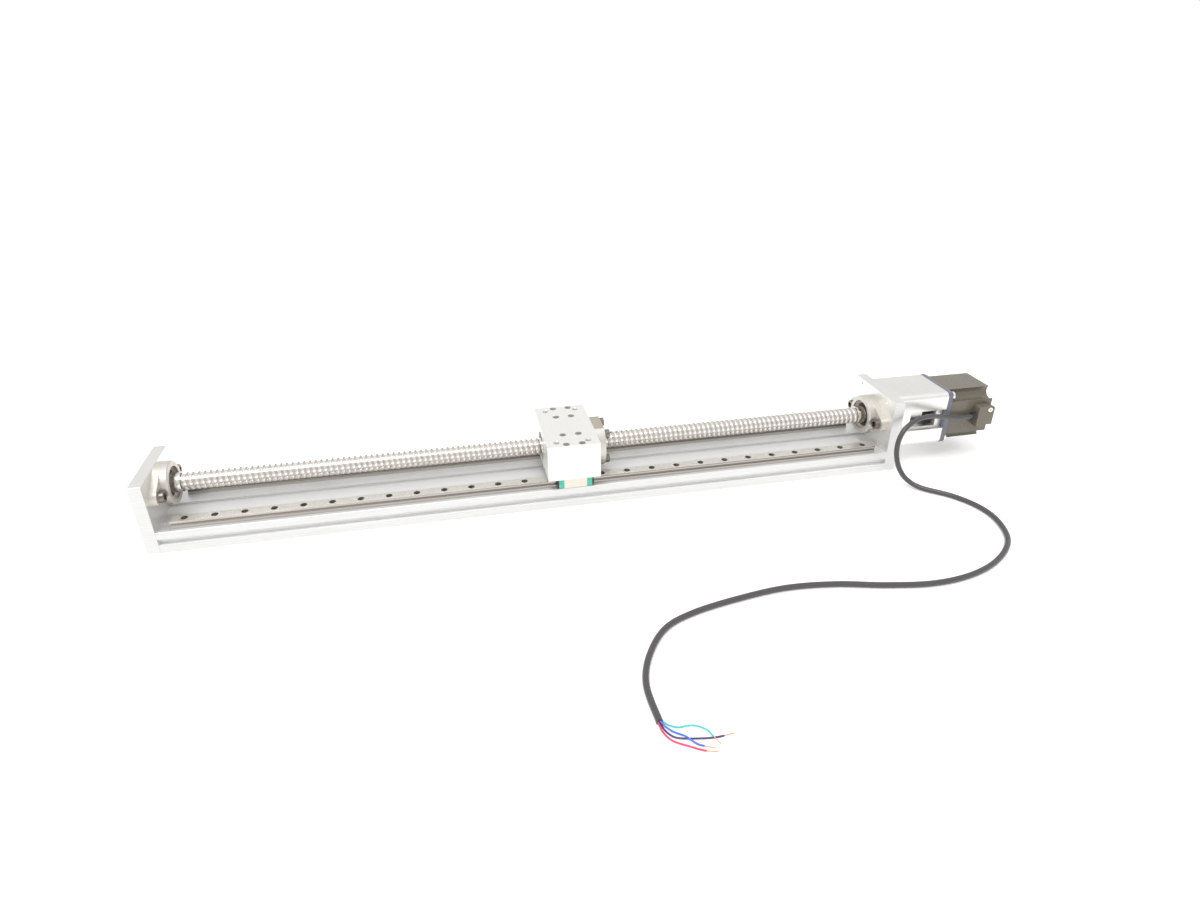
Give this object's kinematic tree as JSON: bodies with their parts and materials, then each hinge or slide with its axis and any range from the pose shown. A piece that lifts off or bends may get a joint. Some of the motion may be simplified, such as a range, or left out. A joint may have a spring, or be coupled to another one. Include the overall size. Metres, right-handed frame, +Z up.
{
  "type": "ball screw linear module",
  "caption": "Motorised linear module: extruded aluminium base, two miniature guide rails, ball screw between end plates, sliding carriage, flange-mounted stepper motor with cut cable",
  "frame": {"origin": "Middle of the base profile's underside, half way between the two end plates", "axes": "+X along the screw towards the motor, +Y away from the cable side, +Z up"},
  "size_m": [0.827, 0.3926, 0.0765],
  "materials": {
    "aluminium": "satin anodised",
    "rail_steel": "ground",
    "bright_steel": "polished",
    "warm_steel": "machined",
    "dark_steel": "black oxide",
    "green_plastic": "moulded",
    "seal_rubber": "smooth",
    "motor_black": "satin",
    "motor_flange_paint": "satin",
    "spider_plastic": "moulded",
    "cable_jacket": "matt",
    "wire_green": "smooth",
    "wire_black": "smooth",
    "wire_blue": "smooth",
    "wire_red": "smooth"
  },
  "bodies": {
    "base": {"base_profile": "aluminium", "idle_end_plate": "aluminium", "drive_end_plate": "aluminium", "plate_screws": "dark_steel", "front_rail": "rail_steel", "rear_rail": "rail_steel", "rail_screws": "dark_steel", "idle_bearing_housing": "warm_steel", "idle_housing_bolts": "dark_steel", "idle_bearing_outer_ring": "bright_steel", "idle_bearing_seals": "seal_rubber", "drive_bearing_housing": "warm_steel", "drive_housing_bolts": "dark_steel", "drive_bearing_outer_ring": "bright_steel", "drive_bearing_seals": "seal_rubber", "motor_housing": "aluminium", "motor_bolts": "bright_steel", "motor_flange": "motor_flange_paint", "motor_stator": "motor_black", "motor_rear_cap": "motor_black", "motor_case_screws": "dark_steel", "motor_bearings": "bright_steel", "cable_cover": "motor_black", "cable_cover_screw": "bright_steel", "cable_grommet": "seal_rubber", "motor_cable": "cable_jacket", "wire_green": "wire_green", "wire_black": "wire_black", "wire_blue": "wire_blue", "wire_red": "wire_red"},
    "screw": {"ball_screw": "bright_steel", "idle_bearing_inner_ring": "bright_steel", "drive_bearing_inner_ring": "bright_steel", "idle_bearing_balls": "bright_steel", "drive_bearing_balls": "bright_steel", "collar_set_screws": "dark_steel", "coupling_screw_hub": "aluminium", "coupling_motor_hub": "aluminium", "coupling_spider": "spider_plastic", "coupling_clamp_screws": "dark_steel", "motor_shaft": "bright_steel", "motor_rotor": "warm_steel"},
    "carriage": {"carriage_plate": "aluminium", "guide_block_screws": "dark_steel", "front_guide_block": "warm_steel", "front_guide_caps": "green_plastic", "front_guide_seals": "seal_rubber", "rear_guide_block": "warm_steel", "rear_guide_caps": "green_plastic", "rear_guide_seals": "seal_rubber", "guide_cap_screws": "dark_steel", "guide_balls": "bright_steel", "ball_nut": "warm_steel", "nut_wipers": "seal_rubber", "nut_screws": "dark_steel"}
  },
  "joints": [
    {"name": "screw_spin", "type": "hinge", "parent": "base", "child": "screw", "pos_m": [0, 0, 0.048], "axis": [1, 0, 0], "range_deg": [-19440, 23040]},
    {"name": "carriage_slide", "type": "slide", "parent": "base", "child": "carriage", "axis": [1, 0, 0], "range_m": [-0.32, 0.27]}
  ],
  "couplings": [
    {"joint": "screw_spin", "follows": "carriage_slide", "rad_per_m": -1256.6}
  ]
}
